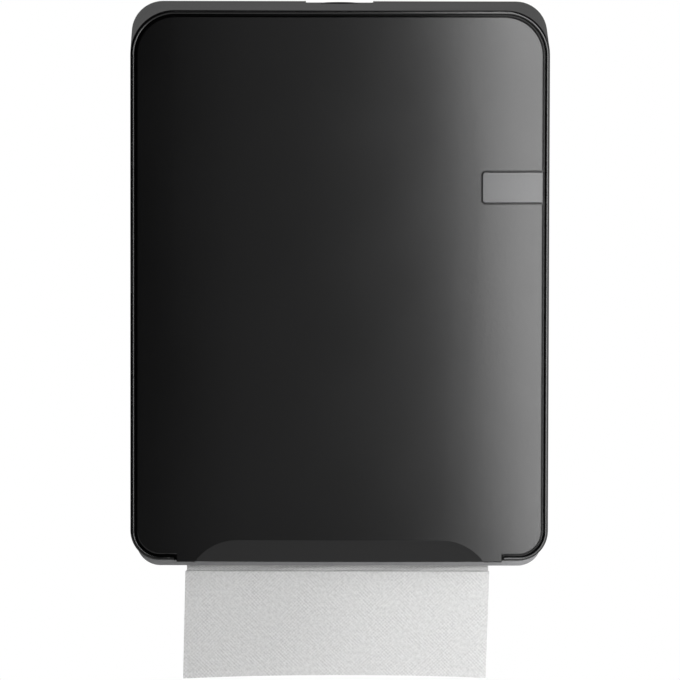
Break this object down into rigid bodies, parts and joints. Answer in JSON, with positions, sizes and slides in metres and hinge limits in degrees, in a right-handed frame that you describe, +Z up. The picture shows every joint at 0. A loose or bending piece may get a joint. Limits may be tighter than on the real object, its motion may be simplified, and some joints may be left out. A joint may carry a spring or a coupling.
{
  "type": "paper towel dispenser",
  "caption": "Wall-mounted folded paper towel dispenser with a bowed black front panel in a rim, a finger scoop, a lockable cover hinged at its foot and a towel hanging out below.",
  "frame": {"origin": "on the wall plane, at the centre of the four wall screw holes, which is the centre of the casing", "axes": "+X to the right seen from the front, +Y into the wall, +Z up"},
  "size_m": [0.3032, 0.13, 0.4863],
  "materials": {
    "cover_plastic": "satin black",
    "badge_plastic": "smooth dark grey",
    "base_plastic": "matt grey",
    "bush_plastic": "smooth, off-white",
    "zinc_steel": "zinc plated",
    "lock_metal": "plated die casting",
    "lock_black": "black",
    "towel_paper": "embossed tissue"
  },
  "bodies": {
    "housing": {"back_plate": "base_plastic", "towel_tray": "base_plastic", "paper_guide_left": "base_plastic", "paper_guide_right": "base_plastic", "hinge_pin_left": "zinc_steel", "hinge_pin_right": "zinc_steel", "lock_keeper": "zinc_steel", "tray_screws": "zinc_steel", "guide_screws": "zinc_steel", "keeper_screws": "zinc_steel", "towel_stack": "towel_paper"},
    "cover": {"cover_shell": "cover_plastic", "front_panel": "cover_plastic", "badge_plate": "badge_plastic", "panel_screws": "zinc_steel", "hinge_bush_left": "bush_plastic", "hinge_bush_right": "bush_plastic", "lock_housing": "lock_black", "lock_nut": "lock_metal"},
    "lock": {"lock_barrel": "lock_metal", "lock_washer": "zinc_steel", "lock_cam": "zinc_steel", "cam_screw": "zinc_steel"},
    "towel": {"hanging_towel": "towel_paper"}
  },
  "joints": [
    {"name": "cover_hinge", "type": "hinge", "parent": "housing", "child": "cover", "pos_m": [0, -0.114, -0.188], "axis": [1, 0, 0], "range_deg": [0, 100]},
    {"name": "lock_turn", "type": "hinge", "parent": "cover", "child": "lock", "pos_m": [0, -0.02, 0.19], "axis": [0, 0, -1], "range_deg": [0, 90]},
    {"name": "towel_pull", "type": "slide", "parent": "housing", "child": "towel", "axis": [0, 0, -1], "range_m": [0, 0.1]}
  ]
}
